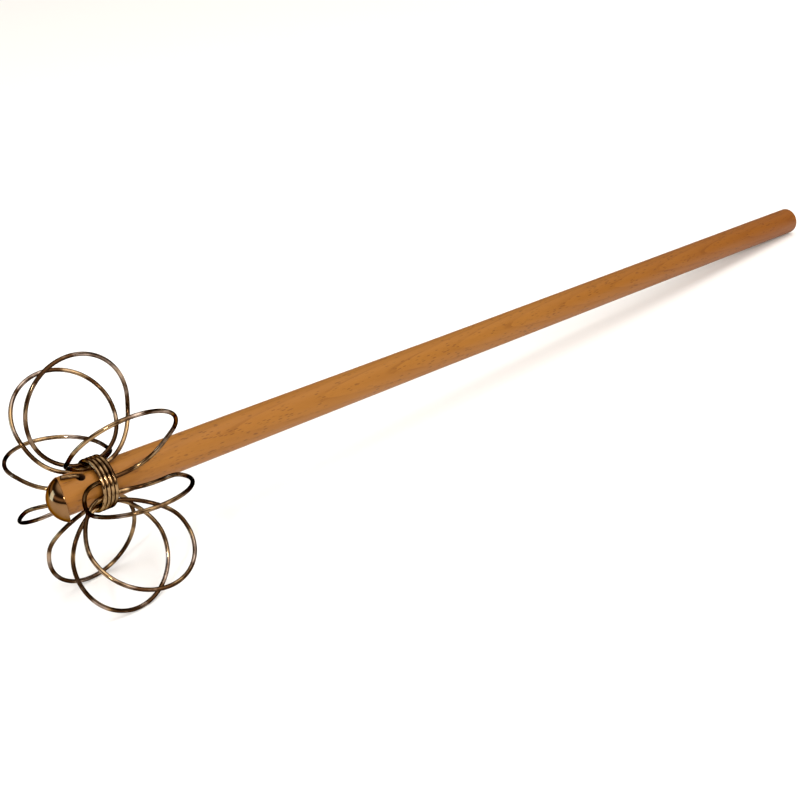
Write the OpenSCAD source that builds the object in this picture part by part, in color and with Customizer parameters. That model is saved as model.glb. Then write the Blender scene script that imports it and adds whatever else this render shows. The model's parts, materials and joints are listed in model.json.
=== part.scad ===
// A hand whisk for slip and glaze: a round beech stick with a flower of nine wire loops bound to its end.
// The tool lies on a level surface, on its two lowest loops and the bottom edge of the stick's plain end.
// Everything is drawn along the stick first (x runs from the rim of the cap to the plain end) and is then
// laid down. Angles round the stick run from +Y (0) up to +Z (90).

/* [Handle] */
// Length of the stick from the rim of the cap to its plain end
handle_length = 621; // [500:1:760]
// Diameter of the stick at the wire end
head_diameter = 20; // [19:0.5:22]
// Diameter of the stick from the end of its taper to its plain end
grip_diameter = 18; // [16:0.5:19]
// Length of the taper, from the rim of the cap
taper_length = 260; // [100:5:400]
// Width of the bevel round the plain end
end_bevel = 2; // [0.4:0.1:3]

/* [Cross hole] */
// Distance of the cross hole for the wire's start from the rim of the cap
hole_from_cap = 8.9; // [8.8:0.1:10.6]
// Diameter of the cross hole
hole_diameter = 4.4; // [4:0.1:4.6]
// Angle round the stick of the mouth that faces up
hole_angle = 114; // [98:1:116]

/* [End cap] */
// Diameter of the dome at its rim
cap_diameter = 23.4; // [23:0.1:25]
// Height of the dome above its rim
cap_height = 8.2; // [7:0.1:10]
// Thickness of the dome's sheet
cap_sheet = 0.8; // [0.6:0.1:1]
// How far the hand-nailed cap sits off the middle of the stick's end
cap_offset = 1.5; // [0:0.1:1.6]
// Slant of the stick's sawn end, and of the cap on it
cap_slant = 20; // [0:1:20]
// Angle round the stick that the slanted cap faces
cap_facing = -22; // [-40:1:-10]

/* [Cap nail] */
// Diameter of the nail's shank
nail_diameter = 2.4; // [1.8:0.1:3]
// Diameter of the nail's head, under the dome
nail_head = 8; // [6:0.5:10]
// How far the nail reaches into the stick, from the rim of the cap
nail_depth = 6; // [5:0.5:6.5]

/* [Wire] */
// Diameter of the wire
wire_diameter = 2.2; // [1.8:0.1:2.4]
// Distance of the middle of the binding from the rim of the cap
binding_from_cap = 19.8; // [19:0.1:24]
// Number of turns in the binding
binding_turns = 4; // [3:1:5]

/* [Loops] */
// Angle round the stick of the first loop, one of the two that the tool rests on
first_angle = -72.5; // [-80:0.5:-68]
// How far each hand-bent loop strays from even spacing round the stick
loop_stray = [0, 0, 5, 3, 3, -12, 0, -7, 2]; // [-12:1:12]
// How far each loop reaches from the middle of the stick
loop_reach = [62.5, 65.5, 65.5, 61.5, 66.5, 66, 64, 64.5, 63.5]; // [58:0.5:72]
// How much wider each loop is along the stick than away from it
loop_width = [-0.5, -2.5, -3, -0.5, -1.5, -1, -1.5, 0, -1]; // [-4:0.5:4]
// How far each loop's top is pushed along the stick, away from the cap
loop_shift = [-0.5, 0.5, 3, 3.5, 3.5, -1, 0, 0.5, -1.5]; // [-4:0.5:4]
// Twist of each loop about the line from the stick through its middle
loop_twist = [-1, 0, 3, 4, -5, -5, -6, 2, -2]; // [-6:1:6]
// Sideways lean of each loop
loop_lean = [5, 2, -2, 3, 0, -14, 2, -1, 12]; // [-14:1:14]

/* [Rest] */
// Slope of the stick down to its plain end, with the tool lying on its two lowest loops
rest_slope = 5; // [4.5:0.01:5.5]

/* [Hidden] */
head_radius = head_diameter / 2;
grip_radius = grip_diameter / 2;
wire_radius = wire_diameter / 2;
wire_sides = 8;
loops = len(loop_stray);
spacing = 360 / loops;
angles = [for (i = [0:loops - 1]) first_angle - i * spacing + loop_stray[i]];

// The loops' legs lie on the wood, and the binding lies on the legs.
leg_height = head_radius + wire_radius;
binding_height = leg_height + wire_diameter + 0.2;
binding_pitch = wire_diameter + 0.05;
binding_start = binding_from_cap - binding_pitch * binding_turns / 2;

// The legs of the first and the last loop part here, where the wire starts and where the binding begins.
start_angle = hole_angle - 180;
last_angle = angles[loops - 1] - 17;
leg_dip = 0.4;
leg_end = 150;

// The dome is part of a ball, whose middle lies below the rim.
ball_radius = (pow(cap_diameter / 2, 2) + pow(cap_height, 2)) / (2 * cap_height);
ball_middle = ball_radius - cap_height;

$fn = 96;

// ---- Paths ----

// A smooth step from 0 to 1.
function ease(u) = let (v = min(max(u, 0), 1)) v * v * (3 - 2 * v);

// The larger of two heights, with the corner between them rounded.
function soft_max(a, b) = (a + b + sqrt(pow(a - b, 2) + pow(leg_dip, 2))) / 2;

// A point given by its place along the stick, its angle round it and its height above its axis.
function around(x, angle, height, side = 0) =
    [x, height * cos(angle) - side * sin(angle), height * sin(angle) + side * cos(angle)];

// The angle where the leg between loop i and the next one lies under the binding.
function leg_angle(i) =
    i < 0 ? start_angle : i == loops - 1 ? last_angle : (angles[i] + angles[i + 1]) / 2;

// A point on loop i: t is -180 under the binding on the handle side, 0 at the loop's top and 180 back
// under the binding on the cap side.
function loop_point(i, t) =
    let (r = (loop_reach[i] - leg_height) / 2,
         turned = ease((abs(t) - 95) / 75),
         free = 1 - turned,
         height = leg_height - leg_dip + (r + leg_dip / 2) * (1 + cos(t)),
         floor_height = i == loops - 1 && t > 0 ? leg_height + (binding_height - leg_height) * turned
                                                : leg_height,
         side = r * sin(t) * sin(loop_twist[i]) - r * cos(t) * sin(loop_lean[i]),
         target = leg_angle(t < 0 ? i - 1 : i))
    around(binding_from_cap + loop_shift[i] * (1 + cos(t)) / 2 - (r + loop_width[i] / 2) * sin(t),
           angles[i] + (target - angles[i]) * turned,
           soft_max(floor_height, height),
           side * free);

// The last loop ends part of the way down its leg, where the binding's wire carries on.
function loop_last(i) = i == loops - 1 ? leg_end : 180;
function loop_path(i, steps = 46) =
    [for (k = [0:steps]) loop_point(i, -180 + (loop_last(i) + 180) * k / steps)];

// A path with its corners rounded, as in bent wire, and its two ends kept.
function relaxed(path, passes) =
    passes == 0 ? path
    : relaxed([for (k = [0:len(path) - 1])
                   k == 0 || k == len(path) - 1 ? path[k]
                   : (path[k - 1] + 2 * path[k] + path[k + 1]) / 4], passes - 1);

// Points set evenly between the corners of a path.
function divided(corners, step) =
    [for (k = [0:len(corners) - 2])
         let (n = max(1, round(norm(corners[k + 1] - corners[k]) / step)))
             for (m = [0:n - 1]) corners[k] + (corners[k + 1] - corners[k]) * m / n,
     corners[len(corners) - 1]];

// The binding: down the last loop's leg, round the stick on top of the legs, and its end tucked in.
binding_lead = [for (t = [leg_end:4:164]) loop_point(loops - 1, t)];
binding_coil = [for (q = [24:18:binding_turns * 360])
                    around(binding_start + binding_pitch * q / 360, last_angle - q, binding_height)];
binding_tuck = [for (q = [14:14:56])
                    around(binding_start + binding_pitch * binding_turns + 0.9 * ease(q / 42),
                           last_angle - binding_turns * 360 - q,
                           binding_height - (binding_height - leg_height - 0.3) * ease(q / 56))];
binding_path = relaxed(concat(binding_lead, binding_coil, binding_tuck), 2);

// The wire's start: its end lies on the wood, bent over towards the cap, then the wire goes down through
// the cross hole and along the far side to the first loop.
on_wood = leg_height + 0.05;
start_path = relaxed(divided([
    around(-0.6, hole_angle - 15, on_wood),
    around(hole_from_cap - 3.2, hole_angle - 6, on_wood),
    around(hole_from_cap - 1, hole_angle - 3, on_wood - 0.5),
    around(hole_from_cap - 0.9, hole_angle - 2, on_wood - 3),
    around(hole_from_cap + 0.8, hole_angle - 180, on_wood - 3),
    around(hole_from_cap + 1, hole_angle - 180, on_wood - 0.5),
    around(hole_from_cap + 2.2, hole_angle - 179, on_wood),
    around(binding_from_cap, start_angle, leg_height + 0.08)], 0.9), 2);

// ---- Wire ----

// A wire along a path. The guides are directions that the wire never runs along, one for each point:
// they keep its flat facets from twisting.
module wire(path, guides) {
    last = len(path) - 1;
    rings = [for (k = [0:last])
        let (along = path[min(k + 1, last)] - path[max(k - 1, 0)],
             t = along / norm(along),
             flat = guides[k] - (guides[k] * t) * t,
             u = flat / norm(flat),
             v = cross(t, u))
        for (j = [0:wire_sides - 1])
            let (a = 360 * (j + 0.5) / wire_sides)
            path[k] + wire_radius * (cos(a) * u + sin(a) * v)];
    sides = [for (k = [0:last - 1], j = [0:wire_sides - 1])
        let (n = (j + 1) % wire_sides, a = k * wire_sides, b = a + wire_sides)
        [a + j, b + j, b + n, a + n]];
    polyhedron(rings, concat(
        [[for (j = [0:wire_sides - 1]) j]],
        sides,
        [[for (j = [wire_sides - 1:-1:0]) last * wire_sides + j]]), convexity = 8);
}

// The direction straight out from the stick's axis at each point of a path.
function outward(path) = [for (p = path) [0, p.y, p.z] / norm([0, p.y, p.z])];

// ---- Placing ----

// Where a point of the tool goes when the stick slopes down to its plain end.
function sloped(p) =
    [p.x * cos(rest_slope) + p.z * sin(rest_slope), p.y, p.z * cos(rest_slope) - p.x * sin(rest_slope)];

laid_loops = [for (i = [0:loops - 1]) for (p = loop_path(i)) sloped(p)];
low_y = min([for (p = laid_loops) p.y]) - wire_radius;
high_y = max([for (p = laid_loops) p.y]) + wire_radius;
low_x = min([for (p = laid_loops) p.x]) - wire_radius;
high_x = sloped([handle_length, 0, grip_radius - end_bevel]).x;
low_z = min(min([for (p = laid_loops) p.z]) - wire_radius,
            sloped([handle_length - end_bevel, 0, -grip_radius]).z);

// The whole tool laid down, with its box standing on z = 0 and centred above the origin.
module laid_down() {
    translate([-(low_x + high_x) / 2, -(low_y + high_y) / 2, -low_z])
        rotate([0, rest_slope, 0])
            children();
}

// Turns a shape drawn upwards from z = 0 to run along the stick from its cap end.
module along_stick() { rotate([0, 90, 0]) children(); }

// Draws a shape in the slanted frame of the cap: z = 0 is the rim, and +Z points out of the dome.
module on_cap() {
    rotate([cap_facing, 0, 0])
        rotate([0, 0, -cap_slant])
            rotate([0, -90, 0])
                translate([-cap_offset, 0, 0])
                    children();
}

// ---- Pieces ----

module stick_blank() {
    reach = 12;
    along_stick() {
        translate([0, 0, -reach]) cylinder(h = reach, r = head_radius);
        cylinder(h = taper_length, r1 = head_radius, r2 = grip_radius);
        translate([0, 0, taper_length])
            cylinder(h = handle_length - taper_length - end_bevel, r = grip_radius);
        translate([0, 0, handle_length - end_bevel])
            cylinder(h = end_bevel, r1 = grip_radius, r2 = grip_radius - end_bevel);
    }
}

module handle() {
    color("#b87d42") laid_down() difference() {
        stick_blank();
        // the slanted saw cut, which the rim of the dome bears on
        on_cap() translate([-30, -30, 0]) cube([60, 60, 30]);
        // the cross hole
        translate([hole_from_cap, 0, 0]) rotate([hole_angle - 90, 0, 0])
            cylinder(h = 3 * head_radius, d = hole_diameter, center = true);
        nail_shank();
    }
}

module end_cap() {
    color("#a39a90") laid_down() on_cap() difference() {
        translate([0, 0, -ball_middle]) sphere(r = ball_radius);
        translate([0, 0, -ball_middle]) sphere(r = ball_radius - cap_sheet);
        translate([-30, -30, -60]) cube(60);
    }
}

module nail_shank() {
    point = 3;
    on_cap() {
        translate([0, 0, point - nail_depth]) cylinder(h = nail_depth + 3, d = nail_diameter);
        translate([0, 0, -nail_depth]) cylinder(h = point, d1 = 0, d2 = nail_diameter);
    }
}

module cap_nail() {
    color("#8d8f92") laid_down() union() {
        nail_shank();
        on_cap() intersection() {
            translate([0, 0, -ball_middle]) sphere(r = ball_radius - cap_sheet);
            translate([0, 0, 2.5]) cylinder(h = cap_height, d = nail_head);
        }
    }
}

module wire_start() {
    guide = around(0, hole_angle + 90, 1);
    color("#a08c72") laid_down() wire(start_path, [for (p = start_path) guide]);
}

module wire_loop(i) {
    path = loop_path(i);
    guide = around(0, angles[i] + 90, 1);
    color("#a08c72") laid_down() wire(path, [for (p = path) guide]);
}

module binding_wire() {
    color("#a88f70") laid_down() wire(binding_path, outward(binding_path));
}

handle();
end_cap();
cap_nail();
wire_start();
wire_loop(0);  // wire_loop_1
wire_loop(1);  // wire_loop_2
wire_loop(2);  // wire_loop_3
wire_loop(3);  // wire_loop_4
wire_loop(4);  // wire_loop_5
wire_loop(5);  // wire_loop_6
wire_loop(6);  // wire_loop_7
wire_loop(7);  // wire_loop_8
wire_loop(8);  // wire_loop_9
binding_wire();
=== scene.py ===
"""A hand whisk for clay slip and glaze: a round beech stick with a flower of wire loops bound to it.

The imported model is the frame. It says where the stick lies and which line each stretch of the wire
follows, and this script builds the finished pieces there: the sawn and drilled beech stick, the
polished dome on its end, the nail inside the dome, and one long plated wire that runs through every
loop into its binding.
"""

import json
import logging
import math
from dataclasses import dataclass, field
from enum import Enum
from typing import Any, Sequence

import bmesh
import bpy
from mathutils import Matrix, Vector, noise


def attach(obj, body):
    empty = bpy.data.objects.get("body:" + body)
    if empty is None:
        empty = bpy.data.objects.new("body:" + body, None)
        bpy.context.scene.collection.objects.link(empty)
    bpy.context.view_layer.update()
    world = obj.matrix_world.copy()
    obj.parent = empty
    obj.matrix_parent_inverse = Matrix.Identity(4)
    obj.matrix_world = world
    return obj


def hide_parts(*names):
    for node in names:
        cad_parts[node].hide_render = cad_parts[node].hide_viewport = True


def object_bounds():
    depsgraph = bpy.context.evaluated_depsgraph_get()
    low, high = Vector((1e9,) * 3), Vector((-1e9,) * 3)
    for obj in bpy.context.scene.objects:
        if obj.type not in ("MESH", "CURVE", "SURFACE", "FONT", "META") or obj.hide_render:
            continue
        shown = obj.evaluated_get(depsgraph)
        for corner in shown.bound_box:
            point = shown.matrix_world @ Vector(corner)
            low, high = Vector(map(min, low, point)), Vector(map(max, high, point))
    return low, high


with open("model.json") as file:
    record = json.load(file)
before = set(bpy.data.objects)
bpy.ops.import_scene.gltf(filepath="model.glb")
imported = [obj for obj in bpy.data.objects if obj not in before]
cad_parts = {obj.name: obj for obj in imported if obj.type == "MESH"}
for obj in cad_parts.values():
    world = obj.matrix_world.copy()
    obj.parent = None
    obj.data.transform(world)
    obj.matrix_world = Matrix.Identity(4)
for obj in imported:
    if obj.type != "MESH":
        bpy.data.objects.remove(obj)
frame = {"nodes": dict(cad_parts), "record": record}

CAD_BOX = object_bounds()
BODY = "root"
FULL_TURN = 2 * math.pi
MM = 0.001
WELD = 1e-6
QUARTER_TURN = math.radians(90)
STICK_LENGTH = 0.621

BMesh = bmesh.types.BMesh
Socket = bpy.types.NodeSocket
Colour = tuple[float, float, float, float]
Triple = tuple[float, float, float]

log = logging.getLogger("whisk")


class Slot(Enum):
    """The material slots that the record names."""

    BEECH = "beech"
    WIRE = "plated_wire"
    CAP = "cap_steel"
    NAIL = "nail_steel"


# ------------------------------------------------------------------------------
# Shader building
# ------------------------------------------------------------------------------


class Shader:
    """The node tree of one material, with short ways to add, set and join its nodes."""

    def __init__(self, name: str) -> None:
        """Starts a material that holds only its output and one surface shader.

        Args:
            name: The material's name.
        """
        self.material = bpy.data.materials.new(name)
        self.material.use_nodes = True
        self.tree = self.material.node_tree
        self.tree.nodes.clear()
        self.surface = self.node("ShaderNodeBsdfPrincipled")
        output = self.node("ShaderNodeOutputMaterial")
        self.join(self.surface.outputs["BSDF"], output.inputs["Surface"])

    def node(self, kind: str, **settings: Any) -> bpy.types.Node:
        """Adds a node.

        Args:
            kind: The node's type.
            **settings: Properties of the node.

        Returns:
            The new node.
        """
        made = self.tree.nodes.new(kind)
        for key, value in settings.items():
            setattr(made, key, value)
        return made

    def join(self, source: Any, target: Socket) -> None:
        """Links an output to an input, or sets the input if the source is a plain value."""
        if isinstance(source, Socket):
            self.tree.links.new(source, target)
        else:
            target.default_value = source

    def math(self, operation: str, *values: Any, clamp: bool = False) -> Socket:
        """Does one sum.

        Args:
            operation: What the node works out.
            *values: Outputs or numbers.
            clamp: Whether the result is kept between 0 and 1.

        Returns:
            The result's socket.
        """
        made = self.node("ShaderNodeMath", operation=operation, use_clamp=clamp)
        for value, target in zip(values, made.inputs):
            self.join(value, target)
        return made.outputs[0]

    def span(self, value: Any, low: float, high: float, out_low: float = 0.0,
             out_high: float = 1.0) -> Socket:
        """Carries a value from one span to another, smoothly and with its ends held.

        Args:
            value: The output to carry over.
            low: Where the span starts.
            high: Where the span ends.
            out_low: What the start becomes.
            out_high: What the end becomes.

        Returns:
            The result's socket.
        """
        made = self.node("ShaderNodeMapRange", interpolation_type="SMOOTHSTEP")
        for key, number in (("From Min", low), ("From Max", high), ("To Min", out_low),
                            ("To Max", out_high)):
            made.inputs[key].default_value = number
        self.join(value, made.inputs["Value"])
        return made.outputs[0]

    def place(self, vector: Any, location: Sequence[float] = (0, 0, 0),
              rotation: Sequence[float] = (0, 0, 0), scale: Sequence[float] = (1, 1, 1)) -> Socket:
        """Moves, turns and stretches coordinates.

        Args:
            vector: The coordinates.
            location: How far they move, after the rest.
            rotation: How far they turn, in radians.
            scale: How far they stretch, before the rest.

        Returns:
            The new coordinates' socket.
        """
        made = self.node("ShaderNodeMapping")
        self.join(vector, made.inputs["Vector"])
        for key, numbers in (("Location", location), ("Rotation", rotation), ("Scale", scale)):
            made.inputs[key].default_value = numbers
        return made.outputs[0]

    def noise(self, vector: Any, scale: float, detail: float = 3.0, roughness: float = 0.5,
              distortion: float = 0.0) -> Socket:
        """Gives a soft random value.

        Args:
            vector: The coordinates.
            scale: How fine the pattern is.
            detail: How many finer layers it has.
            roughness: How strong those layers are.
            distortion: How far it is warped.

        Returns:
            The value's socket.
        """
        made = self.node("ShaderNodeTexNoise")
        self.join(vector, made.inputs["Vector"])
        for key, number in (("Scale", scale), ("Detail", detail), ("Roughness", roughness),
                            ("Distortion", distortion)):
            made.inputs[key].default_value = number
        return made.outputs["Fac"]

    def blend(self, share: Any, first: Any, second: Any, kind: str = "MIX") -> Socket:
        """Blends two colours.

        Args:
            share: How much of the second one shows.
            first: The colour underneath.
            second: The colour on top.
            kind: The way of blending.

        Returns:
            The blended colour's socket.
        """
        made = self.node("ShaderNodeMix", data_type="RGBA", blend_type=kind)
        for source, target in zip((share, first, second), (made.inputs[k] for k in (0, 6, 7))):
            self.join(source, target)
        return made.outputs[2]

    def bump(self, height: Any, depth: float, strength: float = 1.0, below: Any = None) -> Socket:
        """Turns a height into a tilt of the surface.

        Args:
            height: The height, from 0 to 1.
            depth: What a height of 1 stands for, in metres.
            strength: How much of the tilt is used.
            below: Another bump's result that this one adds to.

        Returns:
            The tilted normal's socket.
        """
        made = self.node("ShaderNodeBump")
        self.join(height, made.inputs["Height"])
        made.inputs["Distance"].default_value = depth
        made.inputs["Strength"].default_value = strength
        if below is not None:
            self.join(below, made.inputs["Normal"])
        return made.outputs[0]

    def grain(self, vector: Any, scale: Sequence[float], detail: float = 3.0,
              roughness: float = 0.5) -> Socket:
        """Gives a soft random value that can be finer along one axis than along another.

        Args:
            vector: The coordinates.
            scale: How fine the pattern is along each axis.
            detail: How many finer layers it has.
            roughness: How strong those layers are.

        Returns:
            The value's socket.
        """
        return self.noise(self.place(vector, scale=scale), 1.0, detail, roughness)

    def distance(self, vector: Any, counted: Sequence[float]) -> Socket:
        """Measures how far coordinates are from the origin along some of the axes.

        Args:
            vector: The coordinates.
            counted: 1 for each axis that counts and 0 for each that doesn't.

        Returns:
            The distance's socket.
        """
        kept = self.node("ShaderNodeVectorMath", operation="MULTIPLY")
        self.join(vector, kept.inputs[0])
        kept.inputs[1].default_value = counted
        away = self.node("ShaderNodeVectorMath", operation="LENGTH")
        self.join(kept.outputs[0], away.inputs[0])
        return away.outputs["Value"]

    def own_coordinates(self) -> Socket:
        """Gives the piece's own coordinates, in metres."""
        return self.node("ShaderNodeTexCoord").outputs["Object"]

    def finish(self, **settings: Any) -> bpy.types.Material:
        """Sets the surface shader's sockets, named with underscores for spaces.

        Args:
            **settings: Each socket's value or source.

        Returns:
            The material.
        """
        for key, value in settings.items():
            self.join(value, self.surface.inputs[key.replace("_", " ")])
        return self.material


def tone(red: float, green: float, blue: float) -> Colour:
    """Gives a colour with full cover from its three linear parts."""
    return (red, green, blue, 1.0)


# ------------------------------------------------------------------------------
# Where the tool lies
# ------------------------------------------------------------------------------


@dataclass(frozen=True)
class StickLine:
    """The stick's own line in the room, from the middle of its head to its plain end."""

    head: Vector
    along: Vector
    length: float
    grip_radius: float
    grip_length: float

    @classmethod
    def from_record(cls, record: dict[str, Any], length: float) -> "StickLine":
        """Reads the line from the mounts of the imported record.

        Args:
            record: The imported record.
            length: The stick's length.

        Returns:
            The stick's line.
        """
        mounts = {mount["name"]: mount for mount in record["mounts"]}
        along = Vector(mounts["plain_end"]["axis"]).normalized()
        grip = mounts["grip_end"]["dims"]
        head = Vector(mounts["plain_end"]["pos_m"]) - along * length
        return cls(head, along, length, grip["r_mm"] * MM, grip["length_mm"] * MM)

    @property
    def slope(self) -> float:
        """The angle by which the stick slopes down."""
        return math.atan2(-self.along.z, self.along.x)

    @property
    def placing(self) -> Matrix:
        """The matrix that lays down what is drawn along +X from the head."""
        return Matrix.Translation(self.head) @ Matrix.Rotation(self.slope, 4, "Y")

    def coordinates(self, shader: Shader) -> Socket:
        """Gives the coordinates of a place on the tool along and across the stick, in metres."""
        lifted = self.placing.inverted()
        return shader.place(shader.own_coordinates(), lifted.to_translation(), lifted.to_euler("XYZ"))


@dataclass(frozen=True)
class CrossHole:
    """The hole drilled across the stick's head for the start of the wire."""

    place: float = 0.0089
    radius: float = 0.0022
    angle: float = math.radians(114)

    @property
    def lean(self) -> float:
        """The turn about the stick that takes an upright drill to the hole."""
        return self.angle - QUARTER_TURN


# ------------------------------------------------------------------------------
# Mesh helpers
# ------------------------------------------------------------------------------


def chain(mesh: BMesh, points: Sequence[Vector]) -> list[Any]:
    """Draws an open line of edges.

    Args:
        mesh: The mesh that the line is drawn in.
        points: The line's points in order.

    Returns:
        The line's vertices and edges.
    """
    corners = [mesh.verts.new(point) for point in points]
    return corners + [mesh.edges.new(pair) for pair in zip(corners, corners[1:])]


def lathe(points: Sequence[Vector], axis: Vector, steps: int) -> BMesh:
    """Turns a profile into a round solid.

    Args:
        points: The profile's points, from one place on the axis or above it to another.
        axis: The line through the origin that it is turned about.
        steps: The number of faces round the solid.

    Returns:
        The mesh, with its poles closed and its faces outwards.
    """
    mesh = bmesh.new()
    bmesh.ops.spin(mesh, geom=chain(mesh, points), cent=(0, 0, 0), axis=axis, angle=FULL_TURN,
                   steps=steps, use_merge=True)
    bmesh.ops.remove_doubles(mesh, verts=mesh.verts, dist=WELD)
    bmesh.ops.recalc_face_normals(mesh, faces=mesh.faces)
    return mesh


def soften(mesh: BMesh, edges: Sequence[bmesh.types.BMEdge], width: float, segments: int) -> None:
    """Rounds some edges.

    Args:
        mesh: The mesh that they are in.
        edges: The edges.
        width: How wide the rounding is.
        segments: How many faces it has across.
    """
    bmesh.ops.bevel(mesh, geom=list(edges), offset=width, offset_type="OFFSET", segments=segments,
                    profile=0.5, affect="EDGES", material=-1)


def linked(name: str, mesh: BMesh) -> bpy.types.Object:
    """Makes an object of a mesh and links it to the scene.

    Args:
        name: The object's name.
        mesh: Its mesh, which is used up.

    Returns:
        The new object.
    """
    data = bpy.data.meshes.new(name)
    mesh.to_mesh(data)
    mesh.free()
    made = bpy.data.objects.new(name, data)
    bpy.context.scene.collection.objects.link(made)
    return made


def piece(name: str, mesh: BMesh, node: str, finishes: Sequence[bpy.types.Material],
          crease: float) -> bpy.types.Object:
    """Makes a finished piece of a mesh that is already in its place.

    Args:
        name: The piece's name.
        mesh: Its mesh, which is used up.
        node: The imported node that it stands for.
        finishes: Its materials, by the index that its faces have.
        crease: The angle in degrees from which an edge is drawn sharp.

    Returns:
        The new object.
    """
    made = linked(name, mesh)
    data = made.data
    for polygon in data.polygons:
        polygon.use_smooth = True
    data.set_sharp_from_angle(angle=math.radians(crease))
    for finish in finishes:
        data.materials.append(finish)
    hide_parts(node)
    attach(made, BODY)
    log.info("%s: %d faces for %s", name, len(data.polygons), node)
    return made


# ------------------------------------------------------------------------------
# Finishes
# ------------------------------------------------------------------------------


@dataclass(frozen=True)
class BeechFinish:
    """Sanded beech: rings of the log, fine fibres, short dark rays, and painted shade in the cross hole.

    It is darker towards its plain end. A scale says how fine a pattern is along each axis, a
    share how much of it shows, and a relief how far it stands out in metres.
    """

    line: StickLine
    hole: CrossHole
    name: str = "beech_satin"
    pale: Colour = tone(0.262, 0.104, 0.0140)
    broad: Colour = tone(0.226, 0.081, 0.0098)
    deep: Colour = tone(0.194, 0.070, 0.0080)
    ray: Colour = tone(0.090, 0.027, 0.004)
    # Darkens the wood towards its plain end.
    end_darkening: Colour = tone(0.74, 0.57, 0.31)
    # Painted shade inside the cross hole and round its mouths.
    hole_shade: Colour = tone(0.030, 0.012, 0.006)
    log_angle: float = math.radians(-150.5)
    log_tilt: float = math.radians(2.4)
    pith_distance: float = 0.062
    ring_width: float = 0.0021
    ring_scale: Triple = (0.12, 1, 1)
    ring_share: float = 0.9
    soft_share: float = 0.30
    thin_share: float = 0.8
    thin_scale: Triple = (70, 70, 420)
    fibre_scale: Triple = (45, 2600, 2600)
    fibre_share: float = 0.34
    fibre_relief: float = 0.00006
    broad_scale: Triple = (9, 70, 70)
    broad_share: float = 0.3
    ray_scale: Triple = (185, 90, 1120)
    ray_share: float = 0.62
    ray_relief: float = -0.00005
    ray_patch_scale: Triple = (60, 60, 300)
    # How uneven the darkening towards the plain end is, and where it starts and ends, as shares of the
    # length.
    darkening_scale: Triple = (22, 60, 60)
    darkening_wander: float = 0.05
    darkening_starts: float = 0.42
    darkening_ends: float = 1.12
    sanding_scale: Triple = (14, 240, 240)
    roughness: float = 0.46

    # The wave texture multiplies its coordinates by this.
    WAVE_FACTOR = 20

    def material(self) -> bpy.types.Material:
        """Builds the material on the stick's own coordinates."""
        shader = Shader(self.name)
        place = self.line.coordinates(shader)
        turned = shader.place(place, rotation=(self.log_angle, 0, 0))
        log_place = shader.place(turned, (0, self.pith_distance, 0), (0, 0, self.log_tilt))
        rings = shader.math("MULTIPLY", self._rings(shader, log_place), self.ring_share)
        fibres = shader.grain(log_place, self.fibre_scale, detail=4, roughness=0.62)
        broad = shader.grain(log_place, self.broad_scale)
        rays = self._rays(shader, log_place)
        wood = shader.blend(rings, self.pale, self.deep)
        wood = shader.blend(shader.span(fibres, 0.35, 0.75, 0.0, self.fibre_share), wood, self.deep)
        wood = shader.blend(shader.span(broad, 0.35, 0.7, 0.0, self.broad_share), wood, self.broad)
        wood = shader.blend(shader.math("MULTIPLY", rays, self.ray_share), wood, self.ray)
        # The wood turns darker towards its plain end.
        wood = shader.blend(self._end_darkening_share(shader, place), wood, self.end_darkening, "MULTIPLY")
        # Painted shade darkens the wood inside the cross hole and round its mouths.
        wood = shader.blend(self._painted_hole_shade(shader, place), wood, self.hole_shade)
        relief = shader.bump(fibres, self.fibre_relief, 0.55)
        relief = shader.bump(rays, self.ray_relief, 0.6, below=relief)
        sanding = shader.grain(place, self.sanding_scale, detail=4)
        rough = shader.span(sanding, 0.3, 0.7, self.roughness - 0.05, self.roughness + 0.12)
        return shader.finish(Base_Color=wood, Roughness=rough, Normal=relief, Coat_Weight=0.05,
                             Coat_Roughness=0.32, Specular_IOR_Level=0.2)

    def _rings(self, shader: Shader, log_place: Socket) -> Socket:
        """Gives the year rings, which show as arcs where they run out of the stick."""
        wave = shader.node("ShaderNodeTexWave", wave_type="RINGS", rings_direction="X",
                           wave_profile="SAW")
        shader.join(shader.place(log_place, scale=self.ring_scale), wave.inputs["Vector"])
        for key, number in (("Scale", FULL_TURN / self.WAVE_FACTOR / self.ring_width),
                            ("Distortion", 5.0), ("Detail", 2.0), ("Detail Scale", 0.16)):
            wave.inputs[key].default_value = number
        rises = wave.outputs["Fac"]
        soft = shader.math("MULTIPLY", shader.span(rises, 0.25, 1.0), self.soft_share)
        broken = shader.span(shader.grain(log_place, self.thin_scale), 0.44, 0.60, 0.1)
        thin = shader.math("MULTIPLY", shader.span(rises, 0.80, 0.95), broken)
        return shader.math("ADD", soft, shader.math("MULTIPLY", thin, self.thin_share), clamp=True)

    def _rays(self, shader: Shader, log_place: Socket) -> Socket:
        """Gives the rays of the wood: short dark dashes along the grain."""
        cells = shader.node("ShaderNodeTexVoronoi")
        shader.join(shader.place(log_place, scale=self.ray_scale), cells.inputs["Vector"])
        cells.inputs["Scale"].default_value = 1.0
        dashes = shader.span(cells.outputs["Distance"], 0.34, 0.20)
        patches = shader.span(shader.grain(log_place, self.ray_patch_scale), 0.40, 0.58)
        return shader.math("MULTIPLY", dashes, patches)

    def _end_darkening_share(self, shader: Shader, place: Socket) -> Socket:
        """Gives the darkening of the wood towards its plain end."""
        split = shader.node("ShaderNodeSeparateXYZ")
        shader.join(place, split.inputs[0])
        uneven = shader.grain(place, self.darkening_scale, detail=2)
        reach = shader.math("ADD", split.outputs[0], shader.math("MULTIPLY", uneven, self.darkening_wander))
        length = self.line.length
        return shader.span(reach, length * self.darkening_starts, length * self.darkening_ends)

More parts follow.
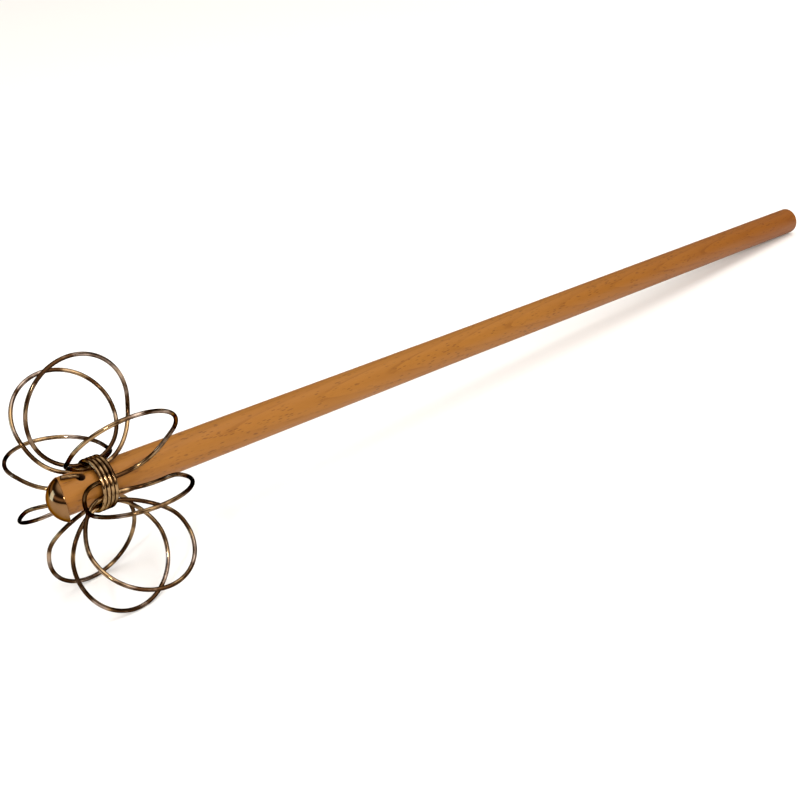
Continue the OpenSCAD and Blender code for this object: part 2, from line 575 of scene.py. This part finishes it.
    def _painted_hole_shade(self, shader: Shader, place: Socket) -> Socket:
        """Gives the painted shade in the drilled cross hole and close round its mouths."""
        level = shader.place(shader.place(place, (-self.hole.place, 0, 0)),
                             rotation=(-self.hole.lean, 0, 0))
        away = shader.distance(level, (1, 1, 0))
        return shader.span(away, self.hole.radius * 1.25, self.hole.radius * 0.98)


@dataclass(frozen=True)
class PlatedFinish:
    """Plated steel, bright in places and darker in random clouds in others, with fine marks along the
    wire or all over.

    It may turn cooler in patches on the parts that stand away from the stick.
    """

    line: StickLine
    name: str
    bright: Colour
    # The colour of the darker clouds.
    dark_clouds: Colour
    roughness: float
    follows_wire: bool
    edge: Colour = tone(0.05, 0.03, 0.02)
    cool: Colour = tone(0.36, 0.295, 0.265)
    cool_share: float = 0.0
    cool_starts: float = 0.018
    cool_ends: float = 0.042
    cloud_scale: Triple = (90, 90, 90)
    patch_scale: Triple = (38, 38, 38)
    patch_shift: Triple = (0.3, 0.1, 0.2)
    mark_relief: float = 0.000006
    tube_radius: float = 0.001

    MARKS_ALONG = (400, 400, 9)
    MARKS_ALL_OVER = (3000, 3000, 3000)

    def material(self) -> bpy.types.Material:
        """Builds the material on the wire's own length and turn, or on the piece's own coordinates."""
        shader = Shader(self.name)
        place = self._wire_place(shader) if self.follows_wire else shader.own_coordinates()
        marks = shader.grain(place, self.MARKS_ALONG if self.follows_wire else self.MARKS_ALL_OVER,
                             roughness=0.6)
        clouds = shader.grain(shader.own_coordinates(), self.cloud_scale)
        cloud_share = shader.span(clouds, 0.32, 0.58)
        patches = shader.noise(shader.place(shader.own_coordinates(), self.patch_shift,
                                            scale=self.patch_scale), 1.0)
        outer = shader.math("MULTIPLY", shader.span(patches, 0.46, 0.58, 0.0, self.cool_share),
                            self._away_from_stick(shader))
        # Darker in random clouds.
        colour = shader.blend(cloud_share, shader.blend(outer, self.bright, self.cool), self.dark_clouds)
        rough = shader.math("ADD", shader.span(clouds, 0.35, 0.75, 0.0, 0.10),
                            shader.span(marks, 0.35, 0.8, self.roughness, self.roughness + 0.08))
        return shader.finish(Base_Color=colour, Metallic=1.0, Roughness=rough, Specular_Tint=self.edge,
                             Normal=shader.bump(marks, self.mark_relief, 0.35))

    def _away_from_stick(self, shader: Shader) -> Socket:
        """Gives 0 on the wood and at the binding, and 1 at the outer parts of the loops."""
        away = shader.distance(self.line.coordinates(shader), (0, 1, 1))
        return shader.span(away, self.cool_starts, self.cool_ends)

    def _wire_place(self, shader: Shader) -> Socket:
        """Wraps the wire's flat map into a tube, so that no seam shows: round it, and along in metres."""
        split = shader.node("ShaderNodeSeparateXYZ")
        shader.join(shader.node("ShaderNodeUVMap", uv_map=WireWork.MAP).outputs[0], split.inputs[0])
        turn = shader.math("MULTIPLY", split.outputs[0], FULL_TURN)
        across, up = (shader.math("MULTIPLY", shader.math(way, turn), self.tube_radius)
                      for way in ("COSINE", "SINE"))
        joined = shader.node("ShaderNodeCombineXYZ")
        for value, target in zip((across, up, split.outputs[1]), joined.inputs):
            shader.join(value, target)
        return joined.outputs[0]


@dataclass(frozen=True)
class FloorFinish:
    """The plain pale floor."""

    colour: Colour = tone(0.86, 0.85, 0.835)
    mottled: Colour = tone(0.8, 0.79, 0.78)

    def material(self) -> bpy.types.Material:
        """Builds a matt surface with a faint mottle."""
        shader = Shader("pale_floor")
        mottle = shader.noise(shader.own_coordinates(), 3.0, detail=4)
        colour = shader.blend(shader.span(mottle, 0.3, 0.7, 0.0, 0.03), self.colour, self.mottled)
        return shader.finish(Base_Color=colour, Roughness=0.75)


# ------------------------------------------------------------------------------
# The stick, the dome and the nail
# ------------------------------------------------------------------------------


@dataclass
class CapSeat:
    """How the dome sits on the sawn head of the stick."""

    slant: float = math.radians(20)
    facing: float = math.radians(-22)
    offset: float = 0.0015

    @property
    def placing(self) -> Matrix:
        """The matrix from the dome's own frame, whose +Z points out of the dome, to the stick's frame."""
        return (Matrix.Rotation(self.facing, 4, "X") @ Matrix.Rotation(-self.slant, 4, "Z")
                @ Matrix.Rotation(-QUARTER_TURN, 4, "Y") @ Matrix.Translation((-self.offset, 0, 0)))

    @property
    def outwards(self) -> Vector:
        """The direction out of the sawn face, in the stick's frame."""
        return self.placing.to_3x3() @ Vector((0, 0, 1))


@dataclass
class Stick:
    """The beech stick: slightly tapered, sawn on a slant under the dome and drilled for the wire."""

    line: StickLine
    seat: CapSeat
    hole: CrossHole
    head_radius: float = 0.010
    head_stock: float = 0.008
    end_bevel: float = 0.002
    saw_edge: float = 0.0003
    hole_flare: float = 0.0004
    unevenness: float = 0.00007
    wander_scale: Triple = (30, 90, 90)
    fine_step: float = 0.0006
    fine_rings: int = 40
    wide_step: float = 0.005
    drill_sides: int = 40
    steps: int = 128

    # The rings of the bevel and of the flat end, as shares of each.
    BEVEL_SHARES = (0.1, 0.4, 0.7, 1)
    FACE_SHARES = (0.9, 0.6, 0.3, 0)
    # Where the drill widens: the height above the head's surface, and the share of the flare there.
    FLARE = ((-0.0012, 0), (-0.0004, 0.4), (0.002, 2))

    @property
    def taper_length(self) -> float:
        """The length over which the stick gets thinner."""
        return self.line.length - self.end_bevel - self.line.grip_length

    def radius_at(self, x: float) -> float:
        """Gives the stick's radius at a place along it."""
        share = min(max(x / self.taper_length, 0.0), 1.0)
        return self.head_radius + (self.line.grip_radius - self.head_radius) * share

    def _stations(self) -> list[float]:
        """Lists where the stick has a ring of vertices: close together by the hole, then wider."""
        fine = [-self.head_stock + self.fine_step * k for k in range(self.fine_rings)]
        wide_start = fine[-1]
        tail = self.line.length - self.end_bevel
        count = round((tail - wide_start) / self.wide_step)
        return fine + [wide_start + (tail - wide_start) * k / count for k in range(1, count + 1)]

    def _profile(self) -> list[Vector]:
        """Draws half of the stick's long section, open at its head and closed at its plain end."""
        side = [Vector((x, self.radius_at(x), 0)) for x in self._stations()]
        tail, edge = self.line.length - self.end_bevel, self.line.grip_radius - self.end_bevel
        bevel = [Vector((tail + self.end_bevel * share, edge + self.end_bevel * (1 - share), 0))
                 for share in self.BEVEL_SHARES]
        face = [Vector((self.line.length, edge * share, 0)) for share in self.FACE_SHARES]
        return side + bevel + face

    def _uneven(self, mesh: BMesh) -> None:
        """Takes a few hundredths of a millimetre off here and there, as sanding does."""
        for vertex in mesh.verts:
            across = Vector((0, vertex.co.y, vertex.co.z))
            if across.length < WELD:
                continue
            spread = [part * scale for part, scale in zip(vertex.co, self.wander_scale)]
            wander = noise.noise(Vector(spread))
            vertex.co -= across.normalized() * self.unevenness * (0.5 + 0.5 * wander)

    def _sawn(self, mesh: BMesh) -> None:
        """Saws the head off on its slant, closes it and breaks its edge."""
        cut = bmesh.ops.bisect_plane(mesh, geom=[*mesh.verts, *mesh.edges, *mesh.faces],
                                     plane_co=(0, 0, 0), plane_no=self.seat.outwards,
                                     clear_outer=True)["geom_cut"]
        rim = [item for item in cut if isinstance(item, bmesh.types.BMEdge)]
        bmesh.ops.holes_fill(mesh, edges=rim, sides=0)
        soften(mesh, rim, self.saw_edge, segments=2)

    def _drill(self) -> bpy.types.Object:
        """Makes the drill's shape, which flares a little where it leaves the wood."""
        half = [(0, self.hole.radius)] + [
            (self.head_radius + height, self.hole.radius + self.hole_flare * share)
            for height, share in self.FLARE]
        reach = half[-1][0]
        outline = [(-z, r) for z, r in reversed(half)] + half[1:]
        points = [Vector((0, 0, -reach)), *(Vector((r, 0, z)) for z, r in outline),
                  Vector((0, 0, reach))]
        mesh = lathe(points, Vector((0, 0, 1)), self.drill_sides)
        mesh.transform(Matrix.Translation((self.hole.place, 0, 0))
                       @ Matrix.Rotation(self.hole.lean, 4, "X"))
        return linked("drill", mesh)

    def _drilled(self, mesh: BMesh) -> BMesh:
        """Cuts the cross hole.

        Args:
            mesh: The stick without its hole, which is used up.

        Returns:
            The stick with its hole.
        """
        blank = linked("blank", mesh)
        drill = self._drill()
        cut = blank.modifiers.new("hole", "BOOLEAN")
        cut.operation, cut.solver, cut.object = "DIFFERENCE", "EXACT", drill
        hole_shade = bmesh.new()
        hole_shade.from_object(blank, bpy.context.evaluated_depsgraph_get())
        for helper in (blank, drill):
            shape = helper.data
            bpy.data.objects.remove(helper)
            bpy.data.meshes.remove(shape)
        return hole_shade

    def build(self, finishes: Sequence[bpy.types.Material]) -> bpy.types.Object:
        """Builds the stick in its place.

        Args:
            finishes: The wood's materials.

        Returns:
            The stick.
        """
        mesh = lathe(self._profile(), Vector((1, 0, 0)), self.steps)
        self._uneven(mesh)
        self._sawn(mesh)
        mesh = self._drilled(mesh)
        mesh.transform(self.line.placing)
        return piece("beech_stick", mesh, "handle", finishes, crease=38)


@dataclass
class Dome:
    """The polished dome that is nailed over the head, as a thin shell with a softened rim."""

    line: StickLine
    seat: CapSeat
    radius: float = 0.0117
    height: float = 0.0082
    sheet: float = 0.0008
    rim_edge: float = 0.00025
    rim_angle: float = math.radians(30)
    steps: int = 128
    rows: int = 28

    @property
    def ball_radius(self) -> float:
        """The radius of the ball that the dome is part of."""
        return (self.radius ** 2 + self.height ** 2) / (2 * self.height)

    @property
    def ball_middle(self) -> float:
        """How far the ball's middle lies below the rim."""
        return self.ball_radius - self.height

    def arc(self, radius: float, lowest: float = 0.0) -> list[Vector]:
        """Draws an arc of the ball, from its top down to a height above the rim."""
        reach = math.acos((self.ball_middle + lowest) / radius)
        return [Vector((radius * math.sin(reach * k / self.rows), 0,
                        radius * math.cos(reach * k / self.rows) - self.ball_middle))
                for k in range(self.rows + 1)]

    def build(self, finishes: Sequence[bpy.types.Material]) -> bpy.types.Object:
        """Builds the dome in its place.

        Args:
            finishes: Its materials.

        Returns:
            The dome.
        """
        outside = self.arc(self.ball_radius)
        inside = self.arc(self.ball_radius - self.sheet)
        mesh = lathe(outside + inside[::-1], Vector((0, 0, 1)), self.steps)
        rim = [edge for edge in mesh.edges if all(abs(vertex.co.z) < WELD for vertex in edge.verts)
               and edge.calc_face_angle(0) > self.rim_angle]
        soften(mesh, rim, self.rim_edge, segments=3)
        mesh.transform(self.line.placing @ self.seat.placing)
        return piece("end_dome", mesh, "end_cap", finishes, crease=50)


@dataclass
class Nail:
    """The nail inside the dome: its head fills the dome's top, and its grooved shank grips the wood."""

    line: StickLine
    seat: CapSeat
    dome: Dome
    shank_radius: float = 0.0012
    head_radius: float = 0.004
    head_height: float = 0.0025
    depth: float = 0.006
    point: float = 0.003
    grooves: int = 4
    steps: int = 48

    # Each groove's points: the share of its pitch, and how deep it is there.
    GROOVE = ((0, 0), (0.15, 0.00012), (0.5, 0))

    def _shank(self) -> list[Vector]:
        """Draws the shank from its point up to the head, with its grooves."""
        low, high = self.point - self.depth, self.head_height
        pitch = (high - low) / (self.grooves + 1)
        rises = [(low + pitch * (k + share), self.shank_radius - cut)
                 for k in range(1, self.grooves) for share, cut in self.GROOVE]
        places = [(-self.depth, 0), (low, self.shank_radius), *rises, (high, self.shank_radius)]
        return [Vector((r, 0, z)) for z, r in places]

    def build(self, finishes: Sequence[bpy.types.Material]) -> bpy.types.Object:
        """Builds the nail in its place.

        Args:
            finishes: Its materials.

        Returns:
            The nail.
        """
        ball = self.dome.ball_radius - self.dome.sheet
        lowest = math.sqrt(ball ** 2 - self.head_radius ** 2) - self.dome.ball_middle
        top = self.dome.arc(ball, lowest)[::-1]
        points = [*self._shank(), Vector((self.head_radius, 0, self.head_height)), *top]
        mesh = lathe(points, Vector((0, 0, 1)), self.steps)
        mesh.transform(self.line.placing @ self.seat.placing)
        return piece("dome_nail", mesh, "cap_nail", finishes, crease=35)


# ------------------------------------------------------------------------------
# The wire
# ------------------------------------------------------------------------------


class WireLine:
    """The line that the whole wire follows: its start, each loop in turn and its binding."""

    SIDES = 8
    FLATNESS = math.radians(0.2)
    # A round end's corners lie within this part of the radius of their circle.
    ROUNDNESS = 50
    END_WELD = 5 * WELD

    def __init__(self, nodes: Sequence[str], radius: float) -> None:
        """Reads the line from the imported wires.

        Args:
            nodes: The wires' nodes, in the order in which the wire was wound.
            radius: The wire's radius.
        """
        self.radius = radius
        lines = [self._ring_middles(node) for node in nodes]
        if self._gap(lines[0][0], lines[1]) < self._gap(lines[0][-1], lines[1]):
            lines[0].reverse()
        self.points: list[Vector] = lines[0]
        self.runs: dict[str, tuple[int, int]] = {nodes[0]: (0, len(lines[0]) - 1)}
        for node, line in zip(nodes[1:], lines[1:]):
            last = self.points[-1]
            if (line[0] - last).length > (line[-1] - last).length:
                line.reverse()
            start = len(self.points) - 1
            self.points[-1] = (last + line[0]) / 2
            self.points += line[1:]
            self.runs[node] = (start, len(self.points) - 1)

    @staticmethod
    def _gap(point: Vector, line: Sequence[Vector]) -> float:
        """Measures how far a point is from the nearer end of a line."""
        return min((point - line[0]).length, (point - line[-1]).length)

    def _end_ring(self, mesh: BMesh) -> list[Vector]:
        """Finds the flat round end of a packed wire.

        Args:
            mesh: A copy of the wire's mesh.

        Returns:
            The corners of that end.
        """
        flat = mesh.copy()
        bmesh.ops.dissolve_limit(flat, angle_limit=self.FLATNESS, verts=flat.verts, edges=flat.edges)
        for face in flat.faces:
            corners = [vertex.co.copy() for vertex in face.verts]
            middle = sum(corners, Vector()) / len(corners)
            if len(corners) == self.SIDES and all(
                    abs((corner - middle).length - self.radius) < self.radius / self.ROUNDNESS
                    for corner in corners):
                flat.free()
                return corners
        raise ValueError("this wire has no round end")

    def _ring_middles(self, node: str) -> list[Vector]:
        """Walks along a packed wire, ring by ring, and gives the middle of each ring."""
        mesh = bmesh.new()
        mesh.from_mesh(frame["nodes"][node].data)
        bmesh.ops.remove_doubles(mesh, verts=mesh.verts, dist=WELD)
        end = self._end_ring(mesh)
        ring = [vertex for vertex in mesh.verts
                if any((vertex.co - corner).length < self.END_WELD for corner in end)]
        seen, middles = set(ring), []
        while ring:
            middles.append(sum((vertex.co for vertex in ring), Vector()) / len(ring))
            reached = {edge.other_vert(vertex) for vertex in ring for edge in vertex.link_edges}
            ring = list(reached - seen)
            seen |= reached
        mesh.free()
        return middles


@dataclass
class WireWork:
    """The plated wire, swept round and smooth along its line, one piece for each packed wire."""

    line: WireLine
    steps: int = 4
    sides: int = 20
    cut_edge: float = 0.00022
    path: list[Vector] = field(default_factory=list)
    frames: list[Matrix] = field(default_factory=list)
    lengths: list[float] = field(default_factory=list)

    MAP = "wire_map"
    # A cut end's edge turns by more than this angle and lies within this many radii of the end.
    CUT_ANGLE = math.radians(60)
    CUT_REACH = 1.05

    def __post_init__(self) -> None:
        """Works out the smooth path, the frame of each ring on it and the length up to each ring."""
        self.path = self._smooth(self.line.points)
        last = len(self.path) - 1
        ways = [(self.path[min(k + 1, last)] - self.path[max(k - 1, 0)]).normalized()
                for k in range(last + 1)]
        turn = Vector((0, 0, 1)).rotation_difference(ways[0])
        total = 0.0
        for k, point in enumerate(self.path):
            if k:
                turn = ways[k - 1].rotation_difference(ways[k]) @ turn
                total += (point - self.path[k - 1]).length
            self.frames.append(Matrix.Translation(point) @ turn.to_matrix().to_4x4())
            self.lengths.append(total)

    def _smooth(self, points: Sequence[Vector]) -> list[Vector]:
        """Draws a smooth curve through points, with the same number of steps between each two."""
        out = []
        for k in range(len(points) - 1):
            before, start = points[max(k - 1, 0)], points[k]
            end, after = points[k + 1], points[min(k + 2, len(points) - 1)]
            for step in range(self.steps):
                t = step / self.steps
                out.append(0.5 * (2 * start + (end - before) * t
                                  + (2 * before - 5 * start + 4 * end - after) * t ** 2
                                  + (3 * start - before - 3 * end + after) * t ** 3))
        return out + [points[-1]]

    def _sweep(self, first: int, last: int) -> BMesh:
        """Sweeps the round wire over a stretch of the path.

        Args:
            first: The stretch's first ring.
            last: Its last ring.

        Returns:
            The closed mesh, with its map laid out round and along the wire.
        """
        mesh = bmesh.new()
        ring = bmesh.ops.create_circle(mesh, cap_ends=True, segments=self.sides,
                                       radius=self.line.radius, matrix=self.frames[first])["verts"]
        places = {vertex: (side, first) for side, vertex in enumerate(ring)}
        rim = list(mesh.edges)
        for k in range(first + 1, last + 1):
            grown = bmesh.ops.extrude_edge_only(mesh, edges=rim)["geom"]
            ring = [item for item in grown if isinstance(item, bmesh.types.BMVert)]
            rim = [item for item in grown if isinstance(item, bmesh.types.BMEdge)]
            bmesh.ops.transform(mesh, matrix=self.frames[k] @ self.frames[k - 1].inverted(), verts=ring)
            for vertex in ring:
                root = next(edge.other_vert(vertex) for edge in vertex.link_edges
                            if places.get(edge.other_vert(vertex), (0, k))[1] == k - 1)
                places[vertex] = (places[root][0], k)
        bmesh.ops.contextual_create(mesh, geom=rim)
        bmesh.ops.recalc_face_normals(mesh, faces=mesh.faces)
        self._lay_map(mesh, places)
        return mesh

    def _lay_map(self, mesh: BMesh, places: dict[bmesh.types.BMVert, tuple[int, int]]) -> None:
        """Writes each corner's turn round the wire and length along it, in metres."""
        layer = mesh.loops.layers.uv.new(self.MAP)
        for face in mesh.faces:
            sides = [places[loop.vert][0] for loop in face.loops]
            wraps = max(sides) - min(sides) > self.sides / 2
            for loop in face.loops:
                side, ring = places[loop.vert]
                turn = (side + (self.sides if wraps and side < self.sides / 2 else 0)) / self.sides
                loop[layer].uv = (turn, self.lengths[ring])

    def _cut(self, mesh: BMesh, place: Vector) -> None:
        """Breaks the edge of a cut end of the wire."""
        reach = self.line.radius * self.CUT_REACH
        rim = [edge for edge in mesh.edges if edge.calc_face_angle(0) > self.CUT_ANGLE
               and all((vertex.co - place).length < reach for vertex in edge.verts)]
        soften(mesh, rim, self.cut_edge, segments=2)

    def build(self, finishes: Sequence[bpy.types.Material]) -> list[bpy.types.Object]:
        """Builds every stretch of the wire in its place.

        Args:
            finishes: The wire's materials.

        Returns:
            The pieces, in the order of the wire.
        """
        made = []
        for node, (start, end) in self.line.runs.items():
            mesh = self._sweep(start * self.steps, end * self.steps)
            for cut_place in (self.path[0], self.path[-1]):
                self._cut(mesh, cut_place)
            made.append(piece(node + "_plated", mesh, node, finishes, crease=55))
        return made


# ------------------------------------------------------------------------------
# The studio
# ------------------------------------------------------------------------------


@dataclass(frozen=True)
class Softbox:
    """A soft square lamp."""

    name: str
    place: Triple
    aim: Triple
    width: float
    height: float
    watts: float
    colour: Triple = (1.0, 1.0, 1.0)

    def build(self) -> bpy.types.Object:
        """Hangs the lamp and turns it to its aim."""
        lamp = bpy.data.lights.new(self.name, "AREA")
        lamp.shape, lamp.size, lamp.size_y = "RECTANGLE", self.width, self.height
        lamp.energy, lamp.color = self.watts, self.colour
        made = bpy.data.objects.new(self.name, lamp)
        made.location = self.place
        way = Vector(self.aim) - Vector(self.place)
        made.rotation_euler = way.to_track_quat("-Z", "Y").to_euler()
        bpy.context.scene.collection.objects.link(made)
        return made


@dataclass(frozen=True)
class ViewCamera:
    """The camera, held by hand with a slight roll."""

    place: Triple = (-0.57464, -0.57637, 0.41270)
    heading: float = math.radians(-40.53)
    pitch: float = math.radians(-27.26)
    roll: float = math.radians(-5.66)
    lens: float = 65.25
    sensor: float = 36.0

    def build(self) -> bpy.types.Object:
        """Sets up the camera and makes it the scene's own."""
        data = bpy.data.cameras.new("view_camera")
        data.lens, data.sensor_width = self.lens, self.sensor
        made = bpy.data.objects.new("view_camera", data)
        turn = (Matrix.Rotation(self.heading, 4, "Z")
                @ Matrix.Rotation(QUARTER_TURN + self.pitch, 4, "X")
                @ Matrix.Rotation(self.roll, 4, "Z"))
        made.matrix_world = Matrix.Translation(self.place) @ turn
        bpy.context.scene.collection.objects.link(made)
        bpy.context.scene.camera = made
        return made


@dataclass
class Studio:
    """The pale floor, the lamps and the soft light from all round."""

    floor_half: float = 12.0
    floor_parts: int = 8
    strength: float = 1.0
    backdrop: Colour = tone(0.9, 0.9, 0.9)
    lamps: tuple[Softbox, ...] = (
        Softbox("window_lamp", (-1.25, 0.78, 0.30), (-0.3, 0.0, 0.06), 0.46, 0.60, 5.5,
                (0.40, 0.66, 1.0)),
        Softbox("head_lamp", (-1.2, -0.75, 0.75), (-0.28, 0.0, 0.06), 0.13, 0.13, 6.0,
                (1.0, 0.97, 0.92)),
        Softbox("front_lamp", (-0.1, -2.0, 1.3), (0.05, 0.0, 0.03), 1.8, 1.2, 36.0,
                (1.0, 0.985, 0.96)),
        Softbox("over_lamp", (0.3, -0.7, 2.4), (0.1, 0.1, 0.0), 2.0, 1.4, 20.0),
    )
    # The light from all round: a height from 0 to 1, and its colour there.
    bands: tuple[tuple[float, Colour], ...] = (
        (0.0, tone(0.05, 0.032, 0.02)), (0.14, tone(0.12, 0.075, 0.045)),
        (0.24, tone(1.0, 0.80, 0.58)), (0.33, tone(0.60, 0.44, 0.30)),
        (0.40, tone(0.06, 0.04, 0.026)), (0.58, tone(0.10, 0.075, 0.055)),
        (0.74, tone(1.45, 1.40, 1.34)), (1.0, tone(1.70, 1.67, 1.62)),
    )

    def _floor(self) -> None:
        """Lays the floor at the height on which the tool rests."""
        mesh = bmesh.new()
        bmesh.ops.create_grid(mesh, x_segments=self.floor_parts, y_segments=self.floor_parts,
                              size=self.floor_half)
        bmesh.ops.translate(mesh, vec=(0, 0, CAD_BOX[0].z), verts=mesh.verts)
        floor = linked("floor", mesh)
        floor.data.materials.append(FloorFinish().material())

    def _surroundings(self) -> None:
        """Sets the light from all round, in bands by height. The camera sees a plain pale backdrop."""
        world = bpy.data.worlds.new("studio")
        world.use_nodes = True
        tree = world.node_tree
        back = tree.nodes["Background"]
        ways = tree.nodes.new("ShaderNodeTexCoord")
        split = tree.nodes.new("ShaderNodeSeparateXYZ")
        ramp = tree.nodes.new("ShaderNodeValToRGB")
        ends = ramp.color_ramp.elements
        for place, colour in self.bands[1:-1]:
            ends.new(place).color = colour
        ends[0].color, ends[-1].color = self.bands[0][1], self.bands[-1][1]
        pale = tree.nodes.new("ShaderNodeMix")
        pale.data_type = "RGBA"
        pale.inputs[7].default_value = self.backdrop
        ray = tree.nodes.new("ShaderNodeLightPath")
        tree.links.new(ways.outputs["Generated"], split.inputs[0])
        tree.links.new(split.outputs[2], ramp.inputs[0])
        tree.links.new(ray.outputs["Is Camera Ray"], pale.inputs[0])
        tree.links.new(ramp.outputs[0], pale.inputs[6])
        tree.links.new(pale.outputs[2], back.inputs[0])
        back.inputs[1].default_value = self.strength
        bpy.context.scene.world = world

    def build(self) -> None:
        """Sets up the whole studio."""
        self._floor()
        self._surroundings()
        for lamp in self.lamps:
            lamp.build()
        bpy.context.scene.view_settings.view_transform = "Standard"


# ------------------------------------------------------------------------------
# The whole tool
# ------------------------------------------------------------------------------


@dataclass
class Whisk:
    """The whole tool: the stick, the dome with its nail, and the wire."""

    line: StickLine
    loops: int = 9
    wire_radius: float = 0.0011

    def _plated(self) -> PlatedFinish:
        """Gives the wire's finish: dark and golden, and cooler on the outer loops."""
        return PlatedFinish(self.line, "plated_wire", bright=tone(0.32, 0.205, 0.100),
                            dark_clouds=tone(0.040, 0.018, 0.007), roughness=0.08, follows_wire=True,
                            cool_share=0.7)

    def _polished(self) -> PlatedFinish:
        """Gives the dome's finish: brown and even, with a pale edge."""
        return PlatedFinish(self.line, "polished_dome", bright=tone(0.215, 0.115, 0.050),
                            dark_clouds=tone(0.165, 0.085, 0.034), roughness=0.06, follows_wire=False,
                            edge=tone(0.42, 0.32, 0.24))

    def _drawn(self) -> PlatedFinish:
        """Gives the nail's finish: plain grey drawn steel."""
        return PlatedFinish(self.line, "drawn_steel", bright=tone(0.50, 0.50, 0.51),
                            dark_clouds=tone(0.36, 0.35, 0.35), roughness=0.32, follows_wire=False)

    def build(self) -> None:
        """Builds every piece in turn."""
        seat, hole = CapSeat(), CrossHole()
        Stick(self.line, seat, hole).build([BeechFinish(self.line, hole).material()])
        dome = Dome(self.line, seat)
        dome.build([self._polished().material()])
        Nail(self.line, seat, dome).build([self._drawn().material()])
        nodes = ["wire_start", *(f"wire_loop_{k + 1}" for k in range(self.loops)), "binding_wire"]
        WireWork(WireLine(nodes, self.wire_radius)).build([self._plated().material()])


def main() -> None:
    """Builds the tool and its studio."""
    logging.basicConfig(level=logging.INFO, format="%(name)s: %(message)s")
    ViewCamera().build()
    Studio().build()
    Whisk(StickLine.from_record(frame["record"], STICK_LENGTH)).build()


if __name__ == "__main__":
    main()
